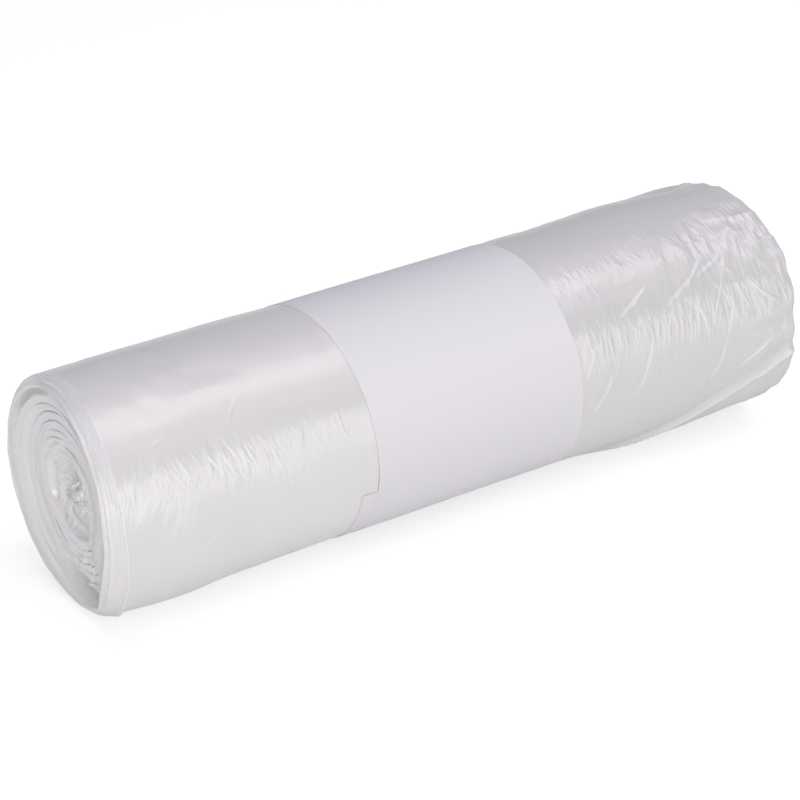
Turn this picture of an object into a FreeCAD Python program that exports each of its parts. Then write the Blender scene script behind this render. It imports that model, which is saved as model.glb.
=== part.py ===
import FreeCAD, Part
import math
import os

# Roll of thin film bags wound without a core, held by a wrapped strip of paper.
# Millimetres. X runs along the roll, with the open end that shows its turns at -X, and +Z is up.
# The roll lies on its side. The origin is below the middle of its length, on the surface it lies on.

V = FreeCAD.Vector

# Roll of film
roll_length = 260.0
near_diameter = 78.4
near_neck_diameter = 76.7
waist_diameter = 75.6
far_neck_diameter = 76.3
far_swell_diameter = 78.2
far_shoulder_diameter = 76.0
flat_depth = 0.45

# Where the far half is fullest, from the far end
far_swell_place = 46.0

# Rounded rims: how far they run along the roll and how far in towards the axis
near_rim_run = 4.0
near_rim_inset = 2.4
far_rim_run = 6.0
far_rim_inset = 4.5

# Loose outer layer that stands off the far half in a slanting fold, with places from the far end
fold_lift = 2.0
fold_end_lift = 3.4
fold_radius = 31.0
fold_start_place = 88.0
fold_full_place = 60.0
fold_end_place = 1.5
fold_low_angle = -122.0
fold_high_angle = -142.0

# Turns at the near end: the outer pack stands proud, the others step back and sink to a crushed middle
pack_turns = 2
pack_pitch = 1.2
pack_fall = 0.35
step_depth = 3.3
near_turn_pitch = 2.6
near_turns = 11
near_slope = 0.32
funnel_radius = 16.5
funnel_slope = 1.1
crush_radius = 4.6
crush_height = 3.4
crush_top_radius = 1.6

# Turns at the far end
far_turn_margin = 3.0
far_turn_pitch = 5.0
far_turns = 5
far_slope = 0.5

# Strip of paper wrapped round the waist
band_width = 79.3
band_place = -46.3
band_slant = 5.8
band_lap_angle = 52.0
band_start_angle = -166.4
paper_thickness = 0.2
paper_clearance = 0.12
lap_gap = 0.1
waist_margin = 2.4
tuck = 1.0

# Free length of a cutting tool outside the roll, flats on a rounded rim, points on each turn of the strip
overrun = 1.0
rim_flats = 3
strip_steps = 24

near_end = -roll_length / 2
far_end = roll_length / 2
axis_height = near_diameter / 2 - flat_depth
band_turns = 1 + band_lap_angle / 360
waist_start = band_place - waist_margin
waist_end = band_place + band_width + band_slant * band_turns + waist_margin


def at(x, radius, angle=0):
    """Point at a place along the roll, a distance from its axis and an angle from +Y towards +Z."""
    turn = math.radians(angle)
    return V(x, radius * math.cos(turn), axis_height + radius * math.sin(turn))


def turned(profile, sweep=360, off_axis=0):
    """Solid turned from a closed list of (place, radius) points, about an axis moved sideways by off_axis."""
    points = [at(x, off_axis + radius) for x, radius in profile]
    face = Part.Face(Part.makePolygon(points + points[:1]))
    return face.revolve(at(0, off_axis), V(1, 0, 0), sweep)


def rim(end, side, radius, run, inset):
    """Rounded rim as (place, radius) points on a quarter of an ellipse, from the end out to the side."""
    points = []
    for step in range(rim_flats + 1):
        angle = math.pi / 2 * step / rim_flats
        points.append((end - side * run * (1 - math.cos(angle)), radius - inset * (1 - math.sin(angle))))
    return points


def wound_body():
    near_rim = rim(near_end, -1, near_diameter / 2, near_rim_run, near_rim_inset)
    far_rim = rim(far_end, 1, far_shoulder_diameter / 2, far_rim_run, far_rim_inset)
    swell = far_end - far_swell_place
    easing = ((waist_end + swell) / 2, far_neck_diameter / 8 + far_swell_diameter * 3 / 8)
    side = [
        (waist_start, near_neck_diameter / 2),
        (waist_start + tuck, waist_diameter / 2),
        (waist_end - tuck, waist_diameter / 2),
        (waist_end, far_neck_diameter / 2),
        easing,
        (swell, far_swell_diameter / 2),
    ]
    return turned([(near_end, 0)] + near_rim + side + far_rim[::-1] + [(far_end, 0)])


def loose_fold():
    """Loose outer layer on the far half: a slimmer body whose middle lies off the axis, towards the fold."""
    reach = far_swell_diameter / 2 + fold_lift - fold_radius
    sunk = reach - 2 * fold_lift
    end_reach = far_shoulder_diameter / 2 + fold_end_lift - fold_radius
    wires = []
    for place, off_axis, angle in (
        (fold_start_place, sunk, fold_low_angle),
        (fold_full_place, reach, fold_low_angle),
        (fold_end_place, end_reach, fold_high_angle),
    ):
        circle = Part.Circle(at(far_end - place, off_axis, angle), V(1, 0, 0), fold_radius)
        wires.append(Part.Wire([circle.toShape()]))
    return Part.makeLoft(wires, True, True)


def stair(mouth, inward, steps):
    """Closed profile of a stepped hollow, from (radius, depth) steps with the widest first."""
    profile = [(mouth - inward * overrun, 0), (mouth - inward * overrun, steps[0][0])]
    for index, (radius, depth) in enumerate(steps):
        following = steps[index + 1][0] if index + 1 < len(steps) else 0
        profile.append((mouth + inward * depth, radius))
        profile.append((mouth + inward * depth, following))
    return profile


def turn_hollow(mouth, inward, radius, pitch, turns, depth_at):
    """Hollow whose steps are the turns: half rings above the axis and below it, joined as a spiral."""
    halves = []
    for half, sweep in ((0, 180), (1, -180)):
        steps = []
        for turn in range(turns):
            reach = radius - pitch * (turn + half / 2)
            steps.append((reach, depth_at(reach)))
        halves.append(turned(stair(mouth, inward, steps), sweep, -half * pitch / 2))
    return halves


def near_pack_depth(radius):
    outside = near_diameter / 2 - near_rim_inset
    return pack_fall * (1 + (outside - radius) / pack_pitch)


def near_turn_depth(radius):
    outside = near_diameter / 2 - near_rim_inset - pack_turns * pack_pitch
    slow = max(0, outside - max(radius, funnel_radius))
    fast = max(0, funnel_radius - radius)
    return step_depth + (near_slope * slow + funnel_slope * fast) / near_turn_pitch


def far_turn_depth(radius):
    outside = far_shoulder_diameter / 2 - far_rim_inset - far_turn_margin
    return far_slope * (1 + (outside - radius) / far_turn_pitch)


def crushed_middle():
    """Innermost turns, crushed shut, standing up from the bottom of the hollow."""
    bottom = near_end + near_turn_depth(crush_radius)
    return turned([
        (bottom + overrun, 0),
        (bottom + overrun, crush_radius),
        (bottom - crush_height / 3, crush_radius),
        (bottom - crush_height, crush_top_radius),
        (bottom - crush_height, 0),
    ])


def film_roll():
    pack_outside = near_diameter / 2 - near_rim_inset
    pack_inside = pack_outside - pack_turns * pack_pitch
    far_outside = far_shoulder_diameter / 2 - far_rim_inset - far_turn_margin
    roll = wound_body().fuse(loose_fold())
    roll = roll.cut(turn_hollow(near_end, 1, pack_outside, pack_pitch, pack_turns, near_pack_depth))
    roll = roll.cut(turn_hollow(near_end, 1, pack_inside, near_turn_pitch, near_turns, near_turn_depth))
    roll = roll.cut(turn_hollow(far_end, -1, far_outside, far_turn_pitch, far_turns, far_turn_depth))
    roll = roll.fuse(crushed_middle())
    under = Part.makeBox(2 * roll_length, 2 * near_diameter, near_diameter)
    under.translate(V(-roll_length, -near_diameter, -near_diameter))
    return roll.cut(under)


def strip_edge(side, depth):
    """One long edge of the paper strip, at a depth from its inner face, with its two end points."""
    steps = int(math.ceil(band_turns * strip_steps))
    points = []
    for step in range(steps + 1):
        turn = band_turns * step / steps
        radius = waist_diameter / 2 + paper_clearance + depth + (paper_thickness + lap_gap) * turn
        points.append(at(band_place + side + band_slant * turn, radius, band_start_angle + 360 * turn))
    curve = Part.BSplineCurve()
    curve.interpolate(Points=points)
    return curve.toShape(), points[0], points[-1]


def paper_band():
    loop = [
        strip_edge(0, 0),
        strip_edge(band_width, 0),
        strip_edge(band_width, paper_thickness),
        strip_edge(0, paper_thickness),
    ]
    faces = []
    for here, beside in zip(loop, loop[1:] + loop[:1]):
        faces.append(Part.makeRuledSurface(here[0], beside[0]))
    for end in (1, 2):
        corners = [edge[end] for edge in loop]
        faces.append(Part.Face(Part.makePolygon(corners + corners[:1])))
    shell = Part.makeShell(faces)
    shell.sewShape()
    solid = Part.Solid(shell)
    if solid.Volume < 0:
        solid.reverse()
    return solid


def main():
    os.makedirs("parts", exist_ok=True)
    for name, shape in (("film_roll", film_roll()), ("paper_band", paper_band())):
        print(name, "valid", shape.isValid(), "solids", len(shape.Solids), "volume", round(shape.Volume))
        shape.exportStep("parts/" + name + ".step")


main()
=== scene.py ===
import bpy
import math
import numpy as np
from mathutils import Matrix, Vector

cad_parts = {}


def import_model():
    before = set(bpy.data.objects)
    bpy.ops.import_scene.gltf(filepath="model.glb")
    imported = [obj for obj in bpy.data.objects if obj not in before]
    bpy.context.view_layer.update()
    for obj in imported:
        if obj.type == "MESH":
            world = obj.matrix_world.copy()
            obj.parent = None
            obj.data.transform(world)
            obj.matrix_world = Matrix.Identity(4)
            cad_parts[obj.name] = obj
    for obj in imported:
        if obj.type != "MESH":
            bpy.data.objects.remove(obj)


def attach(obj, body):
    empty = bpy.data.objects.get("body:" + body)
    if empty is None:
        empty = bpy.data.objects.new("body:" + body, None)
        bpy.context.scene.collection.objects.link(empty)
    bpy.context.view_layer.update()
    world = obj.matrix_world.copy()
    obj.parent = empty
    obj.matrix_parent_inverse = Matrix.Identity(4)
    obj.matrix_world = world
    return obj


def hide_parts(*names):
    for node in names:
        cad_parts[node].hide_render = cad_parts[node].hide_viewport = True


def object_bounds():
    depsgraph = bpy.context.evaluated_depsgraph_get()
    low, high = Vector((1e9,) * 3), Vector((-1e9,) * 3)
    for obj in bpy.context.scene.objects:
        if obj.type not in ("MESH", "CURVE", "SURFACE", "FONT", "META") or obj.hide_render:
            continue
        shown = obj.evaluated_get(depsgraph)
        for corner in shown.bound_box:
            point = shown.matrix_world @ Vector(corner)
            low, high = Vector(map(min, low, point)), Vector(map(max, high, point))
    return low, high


# Roll of thin film bags lying on its side, with a paper band round its waist.
# Lengths are in millimetres, as in the part's source; make_mesh() turns them into metres.
# x runs along the roll. Angles are in degrees round the roll's axis: 0 is the back (+Y), 90 the top,
# 180 the front and 270 the underside, where the roll rests on the floor.

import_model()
cad_lowest, cad_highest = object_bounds()

METRES = 0.001
NEAR_END = round(cad_lowest[0] / METRES, 1)
FAR_END = round(cad_highest[0] / METRES, 1)

# Height of the roll's axis, how high the settled roll is for its width, and its clearance above the floor
AXIS_HEIGHT = 38.75
SQUASH = 0.973
FLOOR_CLEARANCE = 0.02

# Length of one degree of arc on the film
ARC = 0.68

# The tables below are averaged this far to each side, in millimetres and in degrees, to soften their corners
TABLE_BLUR = 5.0
ANGLE_BLUR = 6.0

# The noise reaches this far to each side of x = 0
NOISE_REACH = 200.0

# Radius of the roll along the two outlines that the camera sees, as (x, radius), and the upper one's angle
UPPER_ANGLE = 59.0
UPPER_OUTLINE = (
    (-126, 39.3), (-110, 39.4), (-90, 39.2), (-68, 39.3), (-57, 39.1), (-46, 38.7), (-35, 38.5),
    (24, 38.4), (36, 38.5), (48, 39.0), (60, 38.7), (67, 39.2), (73, 39.1), (80, 39.6), (86, 39.8),
    (92, 39.6), (99, 39.1), (105, 39.0), (112, 38.8), (118, 38.7), (125, 38.4), (130, 38.0),
)
LOWER_OUTLINE = (
    (-126, 39.2), (-118, 39.7), (-113, 40.0), (-107, 40.1), (-97, 39.9), (-85, 39.1), (-74, 38.9),
    (-63, 38.75), (-52, 38.6), (-41, 38.5), (18, 38.5), (30, 38.9), (43, 39.1), (49, 39.3), (60, 39.5),
    (73, 39.8), (86, 39.8), (100, 39.6), (113, 39.5), (130, 39.3),
)

# Near rim: the outer layers have slid out at the front, each one further than the one outside it.
# By angle: how far the innermost of them stands out, and how far the outermost is set back from it
RIM_RADIUS = 36.1
RIM_REACH = (
    (0, 0), (60, 0), (78, 0.6), (89, 1.3), (105, 2.3), (116, 3.2), (127, 4.0), (145, 5.0), (162, 6.0),
    (175, 6.5), (190, 6.8), (203, 6.9), (211, 6.3), (220, 4.9), (230, 2.8), (240, 0.9), (252, 0), (360, 0),
)
FAN_WIDTH = (
    (0, 1.6), (50, 2.6), (75, 4.2), (90, 4.8), (120, 4.6), (150, 5.0), (183, 6.0), (203, 7.6), (220, 6.6),
    (240, 3.6), (270, 2.0), (360, 1.6),
)

# Edges of the slid-out layers: their places as parts of the fan's width, the fall from each to the next,
# which ones are crisp all round, and how blurred the others are, by angle
LAYER_PLACES = (0.05, 0.33, 0.42, 0.52, 0.63, 0.74, 0.87, 1.0)
LAYER_STEP = 0.37
CRISP_LAYERS = (1, 7)
CRISP_BLUR = 0.08
FAN_BLUR = (
    (0, 0.3), (60, 0.12), (85, 0.08), (145, 0.08), (165, 0.16), (180, 0.4), (240, 0.5), (270, 0.4),
    (360, 0.3),
)

# Each edge flares out a little and has a groove in front of it
EDGE_FLARE = 0.13
FLARE_RUN = 0.7
EDGE_GROOVE = 0.22

# Outermost layer's dog-eared corner, low on the front
CORNER_ANGLE = 231
CORNER_HEIGHT = 0.9

# Inner side of the near rim, from the bowl outwards: how far from the rim, and how far below RIM_RADIUS
RIM_INSIDE = ((4.0, 0.75), (1.5, 0.7), (0.35, 0.6), (0.05, 0.35))

# Zone of the near wrap that holds the fan, and where the wraps and the film between them end under the band
RIM_ZONE = 9.0
NEAR_WRAP_END = -38.0
FAR_WRAP_START = 30.0
WAIST_START = -39.0
WAIST_END = 31.0

# Far rim: how far it runs along the roll and how far in
FAR_RIM_RUN = 4.0
FAR_RIM_INSET = 5.0

# Paper band's width, place, slant, first angle and turns, as in the part's source
BAND_WIDTH = 79.3
BAND_PLACE = -46.3
BAND_SLANT = 5.8
BAND_START = -166.4
BAND_TURNS = 1 + 52.0 / 360

# Radius of the band's outside, its paper, and how far it is lifted where it lies on its own first turn
BAND_RADIUS = 38.95
PAPER_THICKNESS = 0.1
LAP_LIFT = 0.12

# Film under the band, and how far beside the band and how nearly it swells to meet it
UNDER_BAND_RADIUS = 38.75
UNDER_BAND_GAP = 0.03
SWELL_RUN = 3.5
SWELL_SHARE = 0.85

# How finely the pieces are divided: rows along the roll, columns round it, steps in each turn of a spiral
RIM_ROWS = 76
NEAR_WRAP_ROWS = 250
NEAR_WRAP_COLUMNS = 300
FAR_WRAP_ROWS = 266
FAR_RIM_ROWS = 12
FAR_WRAP_COLUMNS = 350
WAIST_ROWS = 12
WAIST_COLUMNS = 96
NEAR_TURN_STEPS = 540
FAR_TURN_STEPS = 300

# The band has its rows round the roll and its columns along it
BAND_ROWS = 421
BAND_COLUMNS = 41


# Helpers for shapes

def smooth_step(low, high, value):
    """Rises smoothly from 0 at low to 1 at high."""
    part = np.clip((value - low) / (high - low), 0, 1)
    return part * part * (3 - 2 * part)


def bell(value, middle, width):
    """Bell curve of height 1 round a middle."""
    return np.exp(-((value - middle) / width) ** 2)


def angle_between(angle, centre):
    """Signed angle from centre, between -180 and 180."""
    return (angle - centre + 180) % 360 - 180


def swell(angle, centre, spread):
    """Smooth bump of height 1 round an angle, down to 0 at spread degrees on each side."""
    part = np.clip(np.abs(angle_between(angle, centre)) / spread, 0, 1)
    return 0.5 + 0.5 * np.cos(np.pi * part)


def from_table(x, rows):
    """Value at x from (x, value) rows, with the corners softened."""
    places, values = zip(*rows)
    shifts = np.linspace(-TABLE_BLUR, TABLE_BLUR, 9)
    return sum(np.interp(x + shift, places, values) for shift in shifts) / len(shifts)


def by_angle(angle, rows):
    """Value at an angle from (angle, value) rows, with the corners softened."""
    angles, values = zip(*rows)
    shifts = np.linspace(-ANGLE_BLUR, ANGLE_BLUR, 7)
    return sum(np.interp((angle + shift) % 360, angles, values) for shift in shifts) / len(shifts)


def noise(x, angle, step_x, turns, seed):
    """Smooth random values between -1 and 1: one per step_x along the roll and turns per turn round it."""
    rng = np.random.default_rng(seed)
    columns = math.ceil(2 * NOISE_REACH / step_x) + 2
    grid = rng.uniform(-1, 1, (columns, turns))
    u = (np.asarray(x) + NOISE_REACH) / step_x
    v = (np.asarray(angle) % 360) / 360 * turns
    column, row = np.floor(u).astype(int), np.floor(v).astype(int)
    u, v = u - column, v - row
    u, v = u * u * (3 - 2 * u), v * v * (3 - 2 * v)
    column = np.clip(column, 0, columns - 2)
    row, above = row % turns, (row + 1) % turns
    low = grid[column, row] * (1 - u) + grid[column + 1, row] * u
    high = grid[column, above] * (1 - u) + grid[column + 1, above] * u
    return low * (1 - v) + high * v


def crests(value):
    """Turns smooth noise into sharp crests between round valleys, from 0 to 1."""
    return (1 - np.abs(value)) ** 2


def rounded(points):
    """Line through points with its corners cut off twice."""
    for _ in range(2):
        cut = [points[0]]
        for (x0, a0), (x1, a1) in zip(points[:-1], points[1:]):
            cut.append((0.75 * x0 + 0.25 * x1, 0.75 * a0 + 0.25 * a1))
            cut.append((0.25 * x0 + 0.75 * x1, 0.25 * a0 + 0.75 * a1))
        points = cut + [points[-1]]
    return points


def stroke(x, arc, points, width):
    """(nearness, side) of a line through (x, arc) points.

    Nearness is 1 on the line's middle and less at its ends. Side is the signed distance from it.
    """
    points = rounded(points)
    lengths = [math.dist(here, there) for here, there in zip(points[:-1], points[1:])]
    nearest, side, place = np.full(np.shape(x), 1e9), np.zeros(np.shape(x)), np.zeros(np.shape(x))
    for index, length in enumerate(lengths):
        (x0, a0), (x1, a1) = points[index:index + 2]
        dx, da = x1 - x0, a1 - a0
        along = np.clip(((x - x0) * dx + (arc - a0) * da) / length ** 2, 0, 1)
        off_x, off_a = x - x0 - along * dx, arc - a0 - along * da
        distance = np.hypot(off_x, off_a)
        closer = distance < nearest
        nearest = np.where(closer, distance, nearest)
        side = np.where(closer, np.sign(dx * off_a - da * off_x) * distance, side)
        place = np.where(closer, (sum(lengths[:index]) + along * length) / sum(lengths), place)
    taper = np.sqrt(np.sin(np.pi * np.clip(place, 0.01, 0.99)))
    return bell(nearest, 0, width) * taper, side


def on_roll(x, radius, angle):
    """Points of the squashed roll, kept above the floor."""
    turn = np.radians(angle)
    y = radius * np.cos(turn)
    z = AXIS_HEIGHT + SQUASH * radius * np.sin(turn)
    return np.stack([x, y, np.maximum(z, FLOOR_CLEARANCE)], -1)


def make_mesh(name, points, faces, smooth=True):
    """Object from an array of points in millimetres and an array of four-sided faces."""
    mesh = bpy.data.meshes.new(name)
    mesh.vertices.add(len(points))
    mesh.vertices.foreach_set("co", (points * METRES).astype(np.float32).ravel())
    mesh.loops.add(faces.size)
    mesh.loops.foreach_set("vertex_index", faces.astype(np.int32).ravel())
    mesh.polygons.add(len(faces))
    mesh.polygons.foreach_set("loop_start", np.arange(0, faces.size, 4, dtype=np.int32))
    mesh.polygons.foreach_set("use_smooth", np.full(len(faces), smooth))
    mesh.update()
    mesh.validate()
    piece = bpy.data.objects.new(name, mesh)
    bpy.context.scene.collection.objects.link(piece)
    return piece


def add_place(piece, x, angle, radius, crinkle=0.0, white=0.0):
    """Keeps each point's place on the unrolled sheet for the material, how crinkled it is, and how much it is
    mixed towards white, for stress whitening and for painted highlights.
    """
    places = np.stack([x, ARC * angle, radius], -1).astype(np.float32)
    attribute = piece.data.attributes.new("place", "FLOAT_VECTOR", "POINT")
    attribute.data.foreach_set("vector", places.ravel())
    for name, values in (("crinkle", crinkle), ("white", white)):
        attribute = piece.data.attributes.new(name, "FLOAT", "POINT")
        values = np.broadcast_to(values, np.shape(x)).astype(np.float32)
        attribute.data.foreach_set("value", values.ravel())


def ring_faces(rows, columns):
    """Faces between the points of neighbouring rows, each row a closed ring."""
    row, column = np.meshgrid(np.arange(rows - 1), np.arange(columns), indexing="ij")
    after = (column + 1) % columns
    corners = [row * columns + column, row * columns + after,
               (row + 1) * columns + after, (row + 1) * columns + column]
    return np.stack([corner.ravel() for corner in corners], -1)


# Shape of the film

def body_radius(x, angle):
    """Radius of the roll without its creases."""
    upper, lower = from_table(x, UPPER_OUTLINE), from_table(x, LOWER_OUTLINE)
    tilt = np.cos(np.radians(angle - UPPER_ANGLE))
    return (upper + lower) / 2 + (upper - lower) / 2 * tilt


def band_turn(angle):
    """Part of the band's first turn that has gone by at an angle."""
    return (angle - BAND_START) % 360 / 360


def band_edge(angle, side):
    """Where the outermost of the band's edges on that side is along the roll."""
    turn = band_turn(angle)
    if side == "left":
        return BAND_PLACE + BAND_SLANT * turn
    return BAND_PLACE + BAND_WIDTH + BAND_SLANT * np.where(turn < BAND_TURNS - 1, turn + 1, turn)


def lap_lift(turn):
    """How far the band is lifted, by turns from its start."""
    return LAP_LIFT * smooth_step(0.9, 1.0, turn)


def meet_band(x, angle, radius, side):
    """Film that swells to meet the band at its edge, and lies flat under it."""
    turn = band_turn(angle)
    if side == "left":
        out, lap = band_edge(angle, side) - x, turn
    else:
        out, lap = x - band_edge(angle, side), np.where(turn < BAND_TURNS - 1, 1, turn)
    under = BAND_RADIUS + lap_lift(lap) - PAPER_THICKNESS - UNDER_BAND_GAP
    near = 1 - smooth_step(0, SWELL_RUN, out)
    beside = radius + (under - radius) * near * SWELL_SHARE
    return np.where(out > 0, beside, np.minimum(under - UNDER_BAND_GAP, UNDER_BAND_RADIUS))


def near_face_place(angle):
    """Where the near end's face is along the roll: set back a little at the back and underneath."""
    return NEAR_END + 0.1 + 1.0 * swell(angle, 310, 110)


def near_rim_place(angle):
    """Where the near rim is along the roll."""
    return near_face_place(angle) - by_angle(angle, RIM_REACH) + 0.15 * noise(0, angle, 10, 40, 11)


def fine_crinkles(x, angle, seed):
    """Faint wrinkles that run round the roll, as the film's tension leaves them."""
    bent = x - 0.16 * ARC * angle + 1.6 * noise(x, angle, 9, 24, seed)
    wide = crests(noise(bent, angle, 2.6, 30, seed + 1))
    narrow = crests(noise(bent * 1.1, angle, 1.5, 46, seed + 2))
    return wide + 0.6 * narrow


# Fine raised lines, thinner than creases, that start in a zone and run down round the roll. A zone is
# (x from, x to, angle from, angle to, how many, shortest, longest, height, x per length of arc)
NEAR_HAIRS = (
    (-120, -84, 140, 152, 170, 4, 11, 0.1, 0.2),
    (-124, -74, 146, 162, 140, 4, 10, 0.065, 0.16),
    (-128, -116, 138, 160, 70, 6, 14, 0.06, -0.35),
    (-121, -104, 150, 172, 45, 5, 12, 0.08, -0.5),
    (-84, -50, 141, 153, 50, 4, 10, 0.03, 0.15),
    (-125, -45, 160, 205, 60, 8, 20, 0.02, 0.1),
    (-125, -45, 75, 138, 70, 8, 24, 0.022, 0.1),
    (-118, -80, 100, 118, 14, 8, 16, 0.03, 0.9),
    (-125, -45, 240, 410, 160, 10, 26, 0.04, 0.1),
)
FAR_HAIRS = (
    (31, 54, 108, 126, 120, 5, 14, 0.095, -0.02),
    (31, 60, 138, 154, 80, 6, 17, 0.08, -0.15),
    (62, 104, 142, 158, 80, 4, 12, 0.09, -0.25),
    (98, 125, 98, 156, 110, 5, 15, 0.12, 0.15),
    (66, 112, 108, 124, 60, 3, 9, 0.08, 0.4),
    (76, 118, 112, 150, 26, 12, 30, 0.09, -0.35),
    (88, 118, 112, 140, 6, 8, 16, 0.09, 0.8),
    (36, 112, 158, 190, 26, 10, 26, 0.035, -0.5),
    (34, 124, 240, 410, 220, 8, 24, 0.05, -0.1),
)
HAIR_WIDTH = 0.35

# A hair is drawn this far to each side of its straight run, and further by this many times its bend
HAIR_MARGIN = 2.5
BEND_MARGIN = 400


def hairs(x, angle, zones, seed):
    """Height of the fine raised lines in some zones, on a grid with x down its rows and angles across it."""
    rng = np.random.default_rng(seed)
    total = np.zeros(x.shape)
    for low, high, first, last, count, shortest, longest, height, lean in zones:
        for _ in range(count):
            start_x, start = rng.uniform(low, high), rng.uniform(first, last)
            length, tall = rng.uniform(shortest, longest), height * rng.uniform(0.4, 1.3)
            slope, bend = lean + rng.normal(0, 0.1), rng.normal(0, 0.006)
            hook, width = rng.uniform(-0.4, 1.6), HAIR_WIDTH * rng.uniform(0.7, 1.3)
            reach = HAIR_MARGIN + abs(slope) * length + BEND_MARGIN * abs(bend)
            rows = np.nonzero(np.abs(x[:, 0] - start_x) < reach)[0]
            columns = np.nonzero((angle[0] - start) % 360 * ARC < length)[0]
            block = np.ix_(rows, columns)
            run = (angle[block] - start) % 360 * ARC
            off = x[block] - start_x - slope * run - bend * run ** 2 - hook * (1 - np.exp(-run / 2.5))
            taper = np.sin(np.pi * np.clip(run / length, 0, 1)) ** 0.7
            steep = np.where(off > 0, width, 0.6 * width)
            total[block] += tall * taper * bell(off, 0, steep)
    return total


# Long or dark creases that the photo shows one by one, as lines through (x, angle)
NEAR_CREASES = (
    ((-81.1, 124.9), (-85.7, 132.6), (-90.2, 140.9)),
    ((-93.6, 141.3), (-91.6, 144.1), (-89.8, 153.0), (-87.9, 157.5)),
    ((-111.3, 149.5), (-109.3, 156.3), (-106.5, 162.0)),
    ((-115.6, 137.4), (-110.4, 134.9)),
    ((-52.1, 145.7), (-51.8, 156.0), (-49.6, 161.8)),
    ((-102.8, 152.6), (-106.7, 161.9)),
    ((-119.8, 164.1), (-113.9, 154.4)),
    ((-107.7, 163.5), (-109.7, 177.9), (-112.8, 189.1)),
    ((-98.7, 183.4), (-105.8, 196.2)),
)
FAR_CREASES = (
    ((68.6, 157.9), (67.0, 166.3), (63.8, 176.9), (60.6, 187.8)),
    ((50.8, 171.4), (48.4, 179.9), (43.2, 190.0)),
    ((47.1, 151.2), (43.8, 160.5), (40.6, 170.7)),
    ((108.4, 124.9), (104.3, 134.8), (99.1, 147.0), (95.3, 156.5), (92.5, 165.3)),
    ((98.0, 172.2), (96.1, 183.3), (91.9, 194.0)),
    ((103.6, 150.5), (102.5, 157.5), (100.2, 165.8), (99.0, 170.8)),
    ((88.6, 152.2), (90.2, 159.8), (90.5, 169.1)),
    ((58.3, 144.8), (63.8, 141.4), (71.8, 135.1)),
    ((76.2, 147.3), (82.0, 143.0), (88.8, 138.3), (95.8, 130.1)),
    ((91.2, 138.2), (103.3, 132.1)),
    ((110.5, 144.7), (113.2, 152.4), (121.5, 162.8)),
    ((104.7, 190.3), (110.1, 185.4), (117.6, 179.5)),
)
NEAR_CREASE_WIDTH = 0.36
FAR_CREASE_WIDTH = 0.4

# Crest of the loose outer layer's slanting fold on the far half, as (x, angle)
FOLD_CREST = ((55, 238), (70, 233), (84.7, 223.4), (98.4, 210.2), (107.6, 204.1), (116.0, 197.3), (127, 190))
FOLD_LIFT = 1.5


def creases(x, angle, lines, width):
    """(height, nearness) of sharp creases along lines of (x, angle), where height is about 1 on a crest."""
    arc = ARC * angle
    height, nearness = np.zeros(np.shape(x)), np.zeros(np.shape(x))
    for line in lines:
        points = [(px, ARC * pa) for px, pa in line]
        near, side = stroke(x, arc, points, width)
        height += near * (1 + 0.8 * np.tanh(side / (0.5 * width)))
        nearness = np.maximum(nearness, near)
    return height, nearness


def near_crinkle(x, angle):
    """How crinkled the near half is: most on the front, below the smooth top."""
    front = smooth_step(138, 146, angle) * (1 - 0.8 * smooth_step(160, 180, angle))
    front = front * (1 - 0.6 * smooth_step(-75, -50, x))
    hidden = swell(angle, 350, 90)
    return 0.06 + 0.94 * np.maximum(front, 0.5 * hidden)


def near_film(x, angle):
    """(radius, whitening) of the near half's outer layer, the whitening being partly stress whitening and
    partly painted highlight on its fine lines and creases.
    """
    calm = 1 - 0.75 * smooth_step(-92, -62, x)
    radius = body_radius(x, angle)
    radius += 0.12 * noise(x, angle, 16, 14, 21)
    radius += 0.1 * calm * noise(x - 0.3 * ARC * angle, angle, 5, 34, 22)
    radius += 0.25 * calm * swell(angle, 117, 24) * noise(x, angle, 13, 30, 24)
    radius += 0.02 * near_crinkle(x, angle) * fine_crinkles(x, angle, 31)
    fine = hairs(x, angle, NEAR_HAIRS, 33)
    sharp, nearness = creases(x, angle, NEAR_CREASES, NEAR_CREASE_WIDTH)
    # Whitening of the fine raised lines and creases: partly stress whitening, partly painted highlight
    white = np.maximum(np.clip(7 * fine - 0.15, 0, 0.4), 0.4 * nearness)
    return radius + fine + 0.2 * sharp, white


def far_crinkle(x, angle):
    """How crinkled the far half is: least along its top and low on its front."""
    front = smooth_step(106, 118, angle) * (1 - 0.7 * smooth_step(160, 180, angle))
    smooth_gap = swell(angle, 136, 18) * smooth_step(36, 44, x) * (1 - smooth_step(78, 92, x))
    front = front * (1 - 0.8 * smooth_gap)
    end = smooth_step(95, 120, x) * smooth_step(80, 100, angle)
    hidden = swell(angle, 340, 100)
    return 0.1 + 0.9 * np.maximum(np.maximum(front, end), 0.6 * hidden)


def loose_fold(x, angle):
    """(lift, nearness to its crest) of the loose outer layer that stands off the far half below its fold."""
    crest = np.interp(x, *zip(*FOLD_CREST))
    below = ARC * (angle - crest)
    start = smooth_step(48, 72, x)
    ridge = start * bell(below, 0.4, 0.7)
    lift = start * smooth_step(-3.5, 1.2, below) * (1 - smooth_step(10, 32, below)) * FOLD_LIFT
    return lift + 0.5 * ridge, ridge


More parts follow.
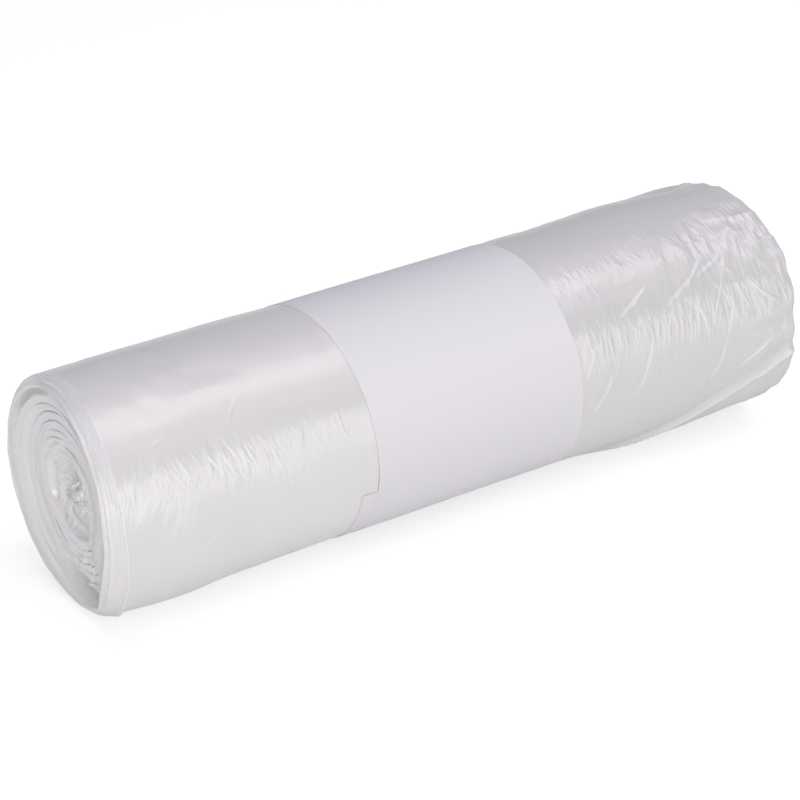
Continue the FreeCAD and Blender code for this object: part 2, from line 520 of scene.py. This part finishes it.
def far_film(x, angle):
    """(radius, whitening) of the far half's outer layer, the whitening being partly stress whitening and
    partly painted highlight on its fine lines and creases, and painted highlight along the fold's crest.
    """
    loose = smooth_step(38, 100, x)
    rougher_end = 1 + 0.5 * smooth_step(92, 116, x)
    slanted = x + 12 * np.radians(angle)
    folds = crests(noise(slanted, angle, 7.5, 12, 42)) * far_crinkle(x, angle)
    puffs = crests(noise(slanted, angle, 4.5, 22, 43)) + 0.6 * crests(noise(x, angle, 3.1, 40, 44))
    radius = body_radius(x, angle)
    radius += (0.12 + 0.2 * loose) * noise(x, angle, 15, 14, 41)
    radius += (0.05 + 0.25 * loose) * folds
    radius += 0.46 * loose * rougher_end * puffs * swell(angle, 128, 36)
    radius += 0.035 * far_crinkle(x, angle) * fine_crinkles(x, angle, 51)
    fine = hairs(x, angle, FAR_HAIRS, 53)
    sharp, nearness = creases(x, angle, FAR_CREASES, FAR_CREASE_WIDTH)
    lift, crest = loose_fold(x, angle)
    # Whitening of the fine lines and creases is partly stress whitening, partly painted highlight; the fold's
    # crest gets a painted highlight
    white = np.maximum(np.clip(5 * fine - 0.1, 0, 0.35), np.maximum(1.2 * nearness, 0.6 * crest))
    return radius + fine + 0.3 * sharp + lift, np.minimum(white, 1)


# Pieces of film round the roll

def crowded_angles(count):
    """Angles round the roll, closer together on the front, where the creases are finest."""
    even = np.linspace(0, 360, 721)
    density = 1 + 1.2 * smooth_step(90, 105, even) * (1 - smooth_step(215, 235, even))
    total = np.concatenate([[0], np.cumsum(density[:-1])])
    return np.interp(np.arange(count) / count * total[-1], total, even)


def sleeve(name, x, radius, angle, crinkle=0.0, white=0.0):
    """Film all the way round the roll, from a grid of points with x down its rows.

    The texture's two ends meet along the underside, out of sight, and it is calm there.
    """
    points = on_roll(x, radius, angle).reshape(-1, 3)
    piece = make_mesh(name, points, ring_faces(*x.shape))
    from_underside = (angle - 270) % 360
    add_place(piece, x, from_underside, radius, crinkle * (1 - swell(angle, 270, 10)), white)
    return piece


def fan_edges(run, angle):
    """(relief, painted highlight) of the slid-out layers' edges, by the run along the roll from the near rim:
    each edge is painted white as a painted highlight where it catches the light.
    """
    width, blur = by_angle(angle, FAN_WIDTH), by_angle(angle, FAN_BLUR)
    drop, flare, white = np.zeros(run.shape), np.zeros(run.shape), np.zeros(run.shape)
    for layer, part in enumerate(LAYER_PLACES):
        place = width * part + 0.2 * noise(0, angle, 10, 13, 60 + layer)
        place += 0.08 * noise(0, angle, 10, 47, 160 + layer)
        soft = CRISP_BLUR if layer in CRISP_LAYERS else blur
        crisp = CRISP_BLUR / soft
        behind = run - place
        drop += LAYER_STEP * (1 - smooth_step(place - soft, place + soft, run))
        drop += EDGE_GROOVE * crisp * bell(behind, -0.22, 0.14)
        flared = EDGE_FLARE * crisp * (run > place - 0.05) * np.exp(-np.maximum(behind, 0) / FLARE_RUN)
        flare = np.maximum(flare, flared)
        white = np.maximum(white, crisp * (1 - smooth_step(0.12, 0.35, np.abs(behind - 0.1))))
    corner = CORNER_HEIGHT * swell(angle, CORNER_ANGLE, 8) * bell(run - width, 0.9, 1.0)
    return flare + corner - drop, white


def near_wrap():
    """Outer layers of the near half, with the layers' edges as steps at the rim."""
    angle = crowded_angles(NEAR_WRAP_COLUMNS)
    rim = near_rim_place(angle)
    in_fan = np.linspace(0, RIM_ZONE, RIM_ROWS)[:, None]
    beyond = np.linspace(0, 1, NEAR_WRAP_ROWS)[1:, None]
    x = np.concatenate([rim + in_fan, rim + RIM_ZONE + beyond * (NEAR_WRAP_END - rim - RIM_ZONE)])
    turn = np.broadcast_to(angle, x.shape)
    radius, white = near_film(x, turn)
    relief, edge_highlight = fan_edges(x - rim, turn)
    radius = meet_band(x, turn, np.maximum(radius + relief, RIM_RADIUS), "left")
    inner_x = np.stack([rim + run for run, _ in RIM_INSIDE])
    inner_radius = np.stack([np.full(rim.shape, RIM_RADIUS - below) for _, below in RIM_INSIDE])
    x = np.concatenate([inner_x, x])
    radius = np.concatenate([inner_radius, radius])
    turn = np.broadcast_to(angle, x.shape)
    # Painted highlights: the rim's inner side and the layers' edges are painted white where they catch the
    # light
    white = np.concatenate([np.ones(inner_x.shape), np.maximum(white, edge_highlight)])
    return sleeve("film_near_wrap", x, radius, turn, near_crinkle(x, turn), white)


def far_wrap():
    """Outer layers of the far half, crinkled and loose, turned in over the far rim."""
    angle = crowded_angles(FAR_WRAP_COLUMNS)
    rim_start = FAR_END - FAR_RIM_RUN
    x, turn = np.meshgrid(np.linspace(FAR_WRAP_START, rim_start, FAR_WRAP_ROWS), angle, indexing="ij")
    radius, white = far_film(x, turn)
    pucker = 0.7 * crests(noise(x, turn, 30, 40, 71)) - 0.2 + 0.4 * noise(x, turn, 8, 60, 72)
    radius = meet_band(x, turn, radius + smooth_step(94, 122, x) * pucker, "right")
    # the rim rolls over in a quarter of an ellipse and goes on inwards, under the first turn
    bends = np.radians(np.linspace(0, 90, FAR_RIM_ROWS))[1:, None]
    wobble = 0.35 * noise(3 * np.arange(len(bends))[:, None], angle, 5, 52, 74)
    rim_x = rim_start + (FAR_RIM_RUN + 0.9 * noise(0, angle, 10, 34, 73)) * np.sin(bends)
    rim_radius = radius[-1] - FAR_RIM_INSET * (1 - np.cos(bends)) + wobble
    inner_x = np.stack([rim_x[-1] - 0.4, rim_x[-1] - 3.0])
    inner_radius = np.stack([rim_radius[-1] - 0.8, np.full(angle.shape, FAR_TURNS[0][0] - 1.0)])
    x = np.concatenate([x, rim_x, inner_x])
    radius = np.concatenate([radius, rim_radius, inner_radius])
    turn = np.broadcast_to(angle, x.shape)
    white = np.concatenate([white, np.repeat(white[-1:], len(x) - len(white), 0)])
    return sleeve("film_far_wrap", x, radius, turn, far_crinkle(x, turn), white)


def waist():
    """Film under the paper band."""
    angle = np.linspace(0, 360, WAIST_COLUMNS, endpoint=False)
    x, turn = np.meshgrid(np.linspace(WAIST_START, WAIST_END, WAIST_ROWS), angle, indexing="ij")
    return sleeve("film_waist", x, np.full(x.shape, UNDER_BAND_RADIUS - 0.1), turn)


# Ends: each is one sheet wound in a spiral, whose cross-section is a turn's rim, its wall and the gap inside.
# Each turn takes its noise from 7 or 9 mm further on than the turn outside it, so that neighbours differ

SPIRAL_START = 20.0
SECTION = (0.0, 0.05, 0.12, 0.2, 0.28, 0.4, 0.52, 0.64, 0.74, 0.82, 0.88, 0.93, 0.965, 1.0)
TURN_CRINKLE = 0.5

# Near end: the turns' radii from the outside in. By radius: the depth of its bottom, and how much of the
# rim's reach it shares. By angle: the radius of the funnel's mouth
NEAR_RADII = (36.0, 35.4, 33.4, 30.4, 27.3, 24.3, 21.9, 19.4, 16.9, 13.4, 9.5, 6.2, 3.4, 1.4, 0.05)
NEAR_BOTTOM = (
    (0, 2.8), (16, 2.8), (19, 2.5), (21.4, 2.6), (24.6, 3.1), (28.2, 2.8), (29.6, 1.9), (33.6, 0.9),
    (35.2, 0.4), (36, 0.1),
)
NEAR_SHARE = ((0, 0), (9, 0.05), (16, 0.2), (22, 0.45), (30, 0.8), (34.0, 0.9), (35.3, 1.0), (36, 1.0))
MOUTH = (
    (0, 16.4), (40, 17.2), (64, 18.0), (85, 16.3), (104, 13.4), (132, 10.8), (158, 10.4), (190, 11.5),
    (227, 15.0), (258, 15.2), (272, 14.3), (317, 14.8), (336, 16.2), (360, 16.4),
)

# Drop at the funnel's mouth, the funnel's fall per millimetre inwards, and the knot's rise
MOUTH_DROP = 1.8
FUNNEL_FALL = 0.28
KNOT_RISE = 3.6

# Grooves inside the outer pack: one low on the front, by angle, and a shallower one at the top of the back
GROOVE_RADIUS = ((0, 28), (235, 34), (245, 33), (257, 31.4), (275, 29.6), (300, 28), (360, 28))
GROOVE_DEPTH = 10.0
TOP_GROOVE_RADIUS = 34.0
TOP_GROOVE_DEPTH = 3.0

# Turns at the far end from the outside in, as (radius, depth), the depth being below a face that is set back
FAR_SET_BACK = 0.3
FAR_TURNS = tuple((34.0 - 2.0 * turn, 0.6 + 0.12 * turn) for turn in range(17)) + ((1.0, 2.6), (0.05, 2.6))


def wound_grid(turns, around):
    """(turn number, part of the cross-section, angle) of each point of a spiral sheet."""
    number, part = np.meshgrid(np.arange((turns - 1) * around + 1) / around, SECTION, indexing="ij")
    return number, part, (number * 360 + SPIRAL_START) % 360


def wound_value(values, number, part):
    """Value on a spiral sheet: each turn's value where part is 0, and the next turn's where it is 1."""
    count = np.arange(len(values))
    outer, inner = np.interp(number, count, values), np.interp(number + 1, count, values)
    return outer + (inner - outer) * part


def wound_mesh(name, x, radius, angle, white, around, faces_far):
    """Spiral sheet whose neighbouring turns share their points, and that faces -x, or +x if faces_far."""
    steps = len(x)
    keep = np.ones(x.shape, bool)
    keep[:steps - around, -1] = False
    index = np.full(x.shape, -1)
    index[keep] = np.arange(keep.sum())
    index[:steps - around, -1] = index[around:, 0]
    corners = [index[:-1, :-1], index[:-1, 1:], index[1:, 1:], index[1:, :-1]]
    if faces_far:
        corners.reverse()
    faces = np.stack([corner.ravel() for corner in corners], -1)
    piece = make_mesh(name, on_roll(x, radius, angle)[keep], faces)
    unrolled = np.broadcast_to(np.arange(steps)[:, None] * 360 / around, x.shape)
    add_place(piece, x[keep], unrolled[keep], radius[keep], TURN_CRINKLE, white[keep])
    return piece


def near_depth(radius, angle):
    """Depth of the near end below its face, without the turns' edges."""
    bottom, share = [np.interp(radius, *zip(*rows)) for rows in (NEAR_BOTTOM, NEAR_SHARE)]
    depth = bottom - share * by_angle(angle, RIM_REACH)
    inside = by_angle(angle, MOUTH) - radius
    depth += MOUTH_DROP * smooth_step(0, 0.9, inside) + FUNNEL_FALL * np.clip(inside - 0.9, 0, 9)
    depth -= KNOT_RISE * (1 - smooth_step(2.5, 6.5, radius))
    groove = bell(radius, by_angle(angle, GROOVE_RADIUS), 1.6) * swell(angle, 260, 42)
    top_groove = bell(radius, TOP_GROOVE_RADIUS, 0.9) * swell(angle, 52, 42)
    return depth + GROOVE_DEPTH * groove + TOP_GROOVE_DEPTH * top_groove


def bowl_edges(number, part, angle, bowl, smooth_front):
    """(depth, painted highlight) of the turns' lips and of the gaps between them, open at the top and low
    down; the lips are painted white as a painted highlight.
    """
    open_top, open_low = 1.3 * swell(angle, 57, 38) * bowl, swell(angle, 252, 36) * bowl
    shown = 0.1 + 0.2 * (np.abs(number - 4.2) < 1.0) + open_top + open_low
    shown *= (1 - 0.95 * smooth_front) * bowl * (0.65 + 0.7 * noise(number * 9, angle, 5, 8, 88))
    uneven = 0.7 + 0.6 * crests(noise(number * 7, angle, 5, 17, 83))
    gap, lip = bell(part, 0.93, 0.045), bell(part, 0.05, 0.05)
    depth = gap * shown * (uneven + open_top + 2.0 * open_low) - 0.35 * lip * shown
    depth += 0.7 * open_low * noise(number * 9, angle, 5, 64, 84)
    return depth, lip * np.clip(shown, 0, 1)


def funnel_folds(radius, angle):
    """(height, painted highlight) of the funnel's pleats and of the crumpled knot at its bottom; the knot
    and, less, the funnel are painted white as painted highlights.
    """
    funnel = smooth_step(3, 6, radius) * (1 - smooth_step(14, 16, radius))
    pleats = 0.5 * crests(noise(0.2 * radius, angle + 4 * radius, 1.6, 26, 91))
    pleats += 0.42 * crests(noise(0.3 * radius, angle + 3 * radius, 1.6, 88, 94)) ** 1.5
    knot = 1 - smooth_step(3.5, 6.5, radius)
    crumple = crests(noise(3.1 * radius, angle, 2.2, 9, 92))
    crumple += 0.6 * crests(noise(4.7 * radius, angle, 1.7, 17, 93))
    height = funnel * (pleats - 0.4) + 1.8 * knot * smooth_step(0, 1.5, radius) * (crumple - 0.7)
    return height, np.maximum(knot, 0.7 * funnel)


def near_turns():
    """Turns at the near end: a shallow bowl inside the outer layers, down to a pleated funnel and a knot."""
    number, part, angle = wound_grid(len(NEAR_RADII), NEAR_TURN_STEPS)
    radius = wound_value(NEAR_RADII, number, part)
    in_bowl = smooth_step(1.4, 2.2, number)
    bowl = in_bowl * (1 - smooth_step(7.2, 7.9, number))
    smooth_front = swell(angle, 158, 76) * bowl
    edges, edge_highlight = bowl_edges(number, part, angle, bowl, smooth_front)
    wave = 0.3 * noise(number * 9, angle, 6, 11, 80) + 0.2 * noise(number * 9, angle, 6, 29, 81)
    wave += 0.1 * noise(radius * 10 - 180, angle, 5, 20, 86)
    depth = near_depth(radius, angle) + edges
    depth += wave * (0.1 + 0.9 * in_bowl) * (1 - 0.8 * smooth_front)
    wobble = 0.35 * noise(radius * 2, angle, 6, 9, 82) + 0.16 * noise(radius * 3, angle, 4, 31, 85)
    radius += wobble * in_bowl * smooth_step(0, 6, radius) * (1 - 0.7 * smooth_front)
    folds, fold_highlight = funnel_folds(radius, angle)
    middle = near_depth(0, angle)
    depth = middle + (depth - folds - middle) * smooth_step(0.2, 1.4, radius)
    x = NEAR_END + (near_face_place(angle) - NEAR_END) * smooth_step(0, 20, radius) + depth
    layers = np.clip(1.4 * noise(radius * 10 - 180, angle, 4, 24, 87) - 0.2, 0, 0.6) * in_bowl
    # Painted light: the bowl's wall is painted white except on the front, where the shade falls; the lips,
    # funnel and knot carry painted highlights, and the layers add random pale streaks
    wall_painted_light = 0.8 * (1 - smooth_front) * smooth_step(13, 16, radius) * (1 - smooth_step(33, 35, radius))
    white = np.maximum(np.maximum(edge_highlight, fold_highlight), np.maximum(layers, wall_painted_light))
    return wound_mesh("film_near_turns", x, radius, angle, white, NEAR_TURN_STEPS, False)


def far_turns():
    """Turns at the far end, loose and uneven."""
    number, part, angle = wound_grid(len(FAR_TURNS), FAR_TURN_STEPS)
    radii, depths = zip(*FAR_TURNS)
    radius = wound_value(radii, number, part)
    depth = wound_value(depths, number, smooth_step(0.1, 0.86, part))
    depth += bell(part, 0.93, 0.06) * (0.7 + 0.8 * crests(noise(number * 7, angle, 5, 13, 183)))
    depth += 0.5 * noise(number * 9, angle, 6, 11, 180) + 0.25 * noise(number * 9, angle, 6, 31, 181)
    wobble = 0.45 * noise(radius * 2, angle, 6, 9, 182) + 0.2 * noise(radius * 3, angle, 4, 31, 184)
    radius += wobble * smooth_step(0, 6, radius)
    depth = depths[-1] + (depth - depths[-1]) * smooth_step(0.2, 1.5, radius)
    x = FAR_END - FAR_SET_BACK - np.maximum(depth, 0)
    # The turns' lips are painted white: a painted highlight
    return wound_mesh("film_far_turns", x, radius, angle, bell(part, 0.06, 0.06), FAR_TURN_STEPS, True)


# Paper band

def strip_end_faces(rows, columns):
    """Faces that close a strip's two ends, where each row runs out on its outside and back on its inside."""
    count = 2 * columns
    faces = []
    for row in (0, rows - 1):
        for column in range(columns - 1):
            outside, inside = row * count + column, row * count + count - 1 - column
            corners = [outside, inside, inside - 1, outside + 1]
            faces.append(corners if row == 0 else corners[::-1])
    return np.array(faces)


def paper_band():
    """Strip of paper wound a little over once round the waist, as a closed shell with real thickness."""
    turns, across = np.linspace(0, BAND_TURNS, BAND_ROWS), np.linspace(0, 1, BAND_COLUMNS)
    turn, part = np.meshgrid(turns, across, indexing="ij")
    angle = BAND_START + 360 * turn
    x = BAND_PLACE + BAND_SLANT * turn + BAND_WIDTH * part
    edge = np.where(part < 0.5, -1, 1) * smooth_step(0.985, 1, np.abs(2 * part - 1))
    x += 0.12 * edge * noise(0, angle, 10, 33, 101)
    outer = BAND_RADIUS + lap_lift(turn) + 0.06 * noise(x, angle, 30, 8, 102)
    inner = outer - PAPER_THICKNESS
    both = [np.concatenate([outside, inside[:, ::-1]], 1)
            for outside, inside in ((x, x), (outer, inner), (angle, angle))]
    around, ends = ring_faces(BAND_ROWS, 2 * BAND_COLUMNS), strip_end_faces(BAND_ROWS, BAND_COLUMNS)
    piece = make_mesh("paper_wrap", on_roll(*both).reshape(-1, 3), np.concatenate([around, ends]))
    piece.data.set_sharp_from_angle(angle=math.radians(40))
    both_x, both_radius, both_angle = both
    add_place(piece, both_x, both_angle, both_radius)
    return piece


# Materials

FILM_SURFACE = {
    "Subsurface Weight": 0.3, "Subsurface Radius": (0.003, 0.003, 0.003), "Subsurface Scale": 1.0,
    "IOR": 1.5, "Specular IOR Level": 0.0,
    "Coat Weight": 0.12, "Coat Roughness": 0.1, "Coat IOR": 1.4,
}
PAPER_SURFACE = {"Roughness": 0.75, "Specular IOR Level": 0.3}
FLOOR_SURFACE = {
    "Base Color": (0.75, 0.75, 0.75, 1), "Roughness": 1.0, "Specular IOR Level": 0.0,
    "Emission Color": (1, 1, 1, 1),
}

# The near half's film goes from dark to light in soft clouds; creases and fine lines are mixed towards white
# as stress whitening and painted highlight, and edges, lips, the fold's crest, the funnel and the knot as
# painted highlights
FILM_DARK = (0.795, 0.787, 0.775, 1)
FILM_LIGHT = (0.845, 0.837, 0.822, 1)
# The far half's film is painted darker: painted shade for the light that falls off towards the far end
FILM_FAR_PAINTED_SHADE = (0.762, 0.755, 0.745, 1)
FILM_STRESS_WHITE_AND_HIGHLIGHT = (0.91, 0.905, 0.905, 1)
PAPER_DARK = (0.84, 0.83, 0.848, 1)
PAPER_LIGHT = (0.87, 0.86, 0.878, 1)

# The near half's sheen and roughness, then the far half's, and where one turns into the other under the band
FILM_METALLIC = (0.15, 0.13)
FILM_ROUGHNESS = (0.24, 0.17)
FILM_CHANGE = (-40.0, 30.0)

# Fine and broad streaks, in waves per millimetre along the roll, round it and outwards, and their lean
FINE_STREAKS = (1.7, 0.13, 0.8)
BROAD_STREAKS = (0.3, 0.09, 0.2)
STREAK_LEAN = 14.0

# Clouds in the film and fibres in the paper, in waves per millimetre
CLOUD_SCALE = 0.06
FIBRE_SCALE = 2.2

# Heights of the streaks on the film and on its glossy coat, and of the paper's fibres, in metres
BROAD_HEIGHT = 0.0006
FINE_HEIGHT = 0.00007
COAT_HEIGHT = 0.0003
FIBRE_HEIGHT = 0.0001


def new_material(name):
    """(material, its nodes, its links, its shader)."""
    material = bpy.data.materials.new(name)
    material.use_nodes = True
    nodes = material.node_tree.nodes
    return material, nodes, material.node_tree.links, nodes["Principled BSDF"]


def set_inputs(node, values):
    """Sets a node's inputs by name."""
    for name, value in values.items():
        node.inputs[name].default_value = value


def feed(links, socket, value):
    """Links a socket to another one, or sets it to a value."""
    if isinstance(value, bpy.types.NodeSocket):
        links.new(value, socket)
    else:
        socket.default_value = value


def attribute_node(nodes, name):
    """Node that reads one of the attributes that add_place() keeps."""
    node = nodes.new("ShaderNodeAttribute")
    node.attribute_name = name
    return node


def noise_node(nodes, links, vector, scale, detail, distortion=0.0):
    """Noise at the places that a vector socket gives, in waves per millimetre."""
    texture = nodes.new("ShaderNodeTexNoise")
    set_inputs(texture, {"Scale": scale, "Detail": detail, "Distortion": distortion})
    links.new(vector, texture.inputs["Vector"])
    return texture.outputs["Fac"]


def streaks(nodes, links, place, scale, detail):
    """Noise drawn out round the roll."""
    stretch = nodes.new("ShaderNodeMapping")
    set_inputs(stretch, {"Scale": scale, "Rotation": (0, 0, math.radians(STREAK_LEAN))})
    links.new(place, stretch.inputs["Vector"])
    return noise_node(nodes, links, stretch.outputs["Vector"], 1.0, detail, distortion=0.4)


def bump_node(nodes, links, height, strength, distance, over=None):
    """Bump that makes a height of 1 stand for a distance in metres, over another bump if one is given."""
    bump = nodes.new("ShaderNodeBump")
    if over:
        links.new(over, bump.inputs["Normal"])
    for name, value in (("Distance", distance), ("Height", height), ("Strength", strength)):
        feed(links, bump.inputs[name], value)
    return bump.outputs["Normal"]


def mix_node(nodes, links, kind, factor, low, high):
    """Mix of two values of a kind, "FLOAT" or "RGBA", either of which may be a socket."""
    mix = nodes.new("ShaderNodeMix")
    mix.data_type = kind
    for name, value in (("Factor", factor), ("A", low), ("B", high)):
        feed(links, mix.inputs[name], value)
    return mix.outputs["Result"]


def far_share(nodes, links, place):
    """0 on the near half and 1 on the far half, whose film is painted darker, as painted shade for the light
    that falls off towards the far end, and has its own sheen and roughness.
    """
    split = nodes.new("ShaderNodeSeparateXYZ")
    links.new(place, split.inputs["Vector"])
    ramp = nodes.new("ShaderNodeMapRange")
    set_inputs(ramp, {"From Min": FILM_CHANGE[0], "From Max": FILM_CHANGE[1]})
    links.new(split.outputs["X"], ramp.inputs["Value"])
    return ramp.outputs["Result"]


def film_material():
    """Many layers of clear film: milky, glossy and finely crinkled round the roll."""
    material, nodes, links, shader = new_material("film")
    set_inputs(shader, FILM_SURFACE)
    place = attribute_node(nodes, "place").outputs["Vector"]
    crinkle = attribute_node(nodes, "crinkle").outputs["Fac"]
    white = attribute_node(nodes, "white").outputs["Fac"]
    fine = streaks(nodes, links, place, FINE_STREAKS, detail=3.0)
    broad = streaks(nodes, links, place, BROAD_STREAKS, detail=2.0)
    inner = bump_node(nodes, links, broad, crinkle, BROAD_HEIGHT)
    inner = bump_node(nodes, links, fine, crinkle, FINE_HEIGHT, inner)
    outer = bump_node(nodes, links, fine, crinkle, COAT_HEIGHT)
    cloud = noise_node(nodes, links, place, CLOUD_SCALE, detail=3.0)
    far = far_share(nodes, links, place)
    body = mix_node(nodes, links, "RGBA", cloud, FILM_DARK, FILM_LIGHT)
    # Painted shade: the far half's film is painted darker
    body = mix_node(nodes, links, "RGBA", far, body, FILM_FAR_PAINTED_SHADE)
    # Stress whitening and painted highlights: edges, lips, creases, the fold's crest, the funnel and the knot
    # are mixed towards white
    tone = mix_node(nodes, links, "RGBA", white, body, FILM_STRESS_WHITE_AND_HIGHLIGHT)
    links.new(tone, shader.inputs["Base Color"])
    links.new(mix_node(nodes, links, "FLOAT", far, *FILM_METALLIC), shader.inputs["Metallic"])
    links.new(mix_node(nodes, links, "FLOAT", far, *FILM_ROUGHNESS), shader.inputs["Roughness"])
    links.new(inner, shader.inputs["Normal"])
    links.new(outer, shader.inputs["Coat Normal"])
    return material


def paper_material():
    """Plain matte white paper with a faint fibre texture."""
    material, nodes, links, shader = new_material("paper")
    set_inputs(shader, PAPER_SURFACE)
    place = attribute_node(nodes, "place").outputs["Vector"]
    fibre = noise_node(nodes, links, place, FIBRE_SCALE, detail=5.0)
    tone = mix_node(nodes, links, "RGBA", fibre, PAPER_DARK, PAPER_LIGHT)
    bump = bump_node(nodes, links, fibre, strength=0.1, distance=FIBRE_HEIGHT)
    links.new(tone, shader.inputs["Base Color"])
    links.new(bump, shader.inputs["Normal"])
    return material


# Studio, in metres

# Camera, solved from the band's edges and the near rim in the photo, with its angles in degrees and its lens
# and sensor in millimetres
CAMERA_PLACE = (-0.50827, -0.72619, 0.50136)
CAMERA_AZIMUTH = -34.665
CAMERA_ELEVATION = 27.834
CAMERA_LENS = 138.94
CAMERA_SENSOR = 36.0

# Softboxes: name, place, what they aim at, width, height, radiance and colour
SOFTBOXES = (
    ("overhead", (0.35, -0.12, 1.05), (0.35, 0, 0.04), 1.6, 0.38, 0.78, (1.0, 0.985, 1.0)),
    ("overhead_spread", (0.35, -0.1, 1.1), (0.35, 0, 0.04), 1.8, 1.3, 0.33, (0.9, 0.85, 1.0)),
    ("front", (0.35, -1.45, 0.4), (0.35, 0, 0.04), 1.8, 0.95, 0.93, (1.0, 0.985, 0.95)),
    ("end_fill", (-1.24, -1.0, 0.5), (-0.13, 0, 0.04), 0.9, 0.9, 2.4, (1.0, 0.98, 0.955)),
)
# Watts per square metre that give a softbox a radiance of 1
SOFTBOX_WATTS = 4

WORLD_COLOUR = (0.935, 0.915, 1.0, 1)
WORLD_STRENGTH = 0.355

# Half the floor's side in millimetres, and the glow that makes it white in the picture
FLOOR_REACH = 4000.0
FLOOR_GLOW = 0.56


def camera():
    """Camera that sees the roll as the photo does."""
    data = bpy.data.cameras.new("camera")
    data.lens, data.sensor_width = CAMERA_LENS, CAMERA_SENSOR
    data.clip_start, data.clip_end = 0.05, 20
    thing = bpy.data.objects.new("camera", data)
    bpy.context.scene.collection.objects.link(thing)
    thing.location = CAMERA_PLACE
    thing.rotation_euler = (math.pi / 2 - math.radians(CAMERA_ELEVATION), 0, math.radians(CAMERA_AZIMUTH))
    bpy.context.scene.camera = thing


def softbox(name, place, aim, width, height, radiance, colour):
    """Rectangular studio light that shines from place towards aim."""
    data = bpy.data.lights.new(name, "AREA")
    data.shape = "RECTANGLE"
    data.size, data.size_y = width, height
    data.energy = radiance * SOFTBOX_WATTS * width * height
    data.color = colour
    thing = bpy.data.objects.new(name, data)
    bpy.context.scene.collection.objects.link(thing)
    thing.location = place
    direction = [a - b for a, b in zip(aim, place)]
    across = -math.atan2(direction[0], direction[1])
    down = math.atan2(math.hypot(direction[0], direction[1]), -direction[2])
    thing.rotation_euler = (down, 0, across)


def shown_directly(nodes, links):
    """1 for rays from the camera and for mirror and glass rays, 0 for the rest."""
    rays = nodes.new("ShaderNodeLightPath")
    total = rays.outputs["Is Camera Ray"]
    for name in ("Is Glossy Ray", "Is Transmission Ray"):
        add = nodes.new("ShaderNodeMath")
        add.operation = "MAXIMUM"
        links.new(total, add.inputs[0])
        links.new(rays.outputs[name], add.inputs[1])
        total = add.outputs["Value"]
    return total


def floor():
    """White floor, which glows only for the rays that show it directly."""
    reach = FLOOR_REACH
    corners = [[-reach, -reach, 0], [reach, -reach, 0], [reach, reach, 0], [-reach, reach, 0]]
    thing = make_mesh("floor", np.array(corners), np.array([[0, 1, 2, 3]]), False)
    material, nodes, links, shader = new_material("floor")
    set_inputs(shader, FLOOR_SURFACE)
    strength = nodes.new("ShaderNodeMath")
    strength.operation = "MULTIPLY"
    strength.inputs[1].default_value = FLOOR_GLOW
    links.new(shown_directly(nodes, links), strength.inputs[0])
    links.new(strength.outputs["Value"], shader.inputs["Emission Strength"])
    thing.data.materials.append(material)


def world():
    """Even light from all sides."""
    thing = bpy.data.worlds.new("studio")
    thing.use_nodes = True
    set_inputs(thing.node_tree.nodes["Background"], {"Color": WORLD_COLOUR, "Strength": WORLD_STRENGTH})
    bpy.context.scene.world = thing


def studio():
    """Softboxes, even light and a floor."""
    for settings in SOFTBOXES:
        softbox(*settings)
    world()
    floor()


def build():
    """Makes the pieces and says what each one replaces, rides on and is made of."""
    film, paper = film_material(), paper_material()
    for piece in (near_wrap(), far_wrap(), waist(), near_turns(), far_turns()):
        piece.data.materials.append(film)
        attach(piece, "root")
        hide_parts("film_roll")
    band = paper_band()
    band.data.materials.append(paper)
    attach(band, "root")
    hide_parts("paper_band")


bpy.context.scene.view_settings.view_transform = "Standard"
camera()
studio()
build()
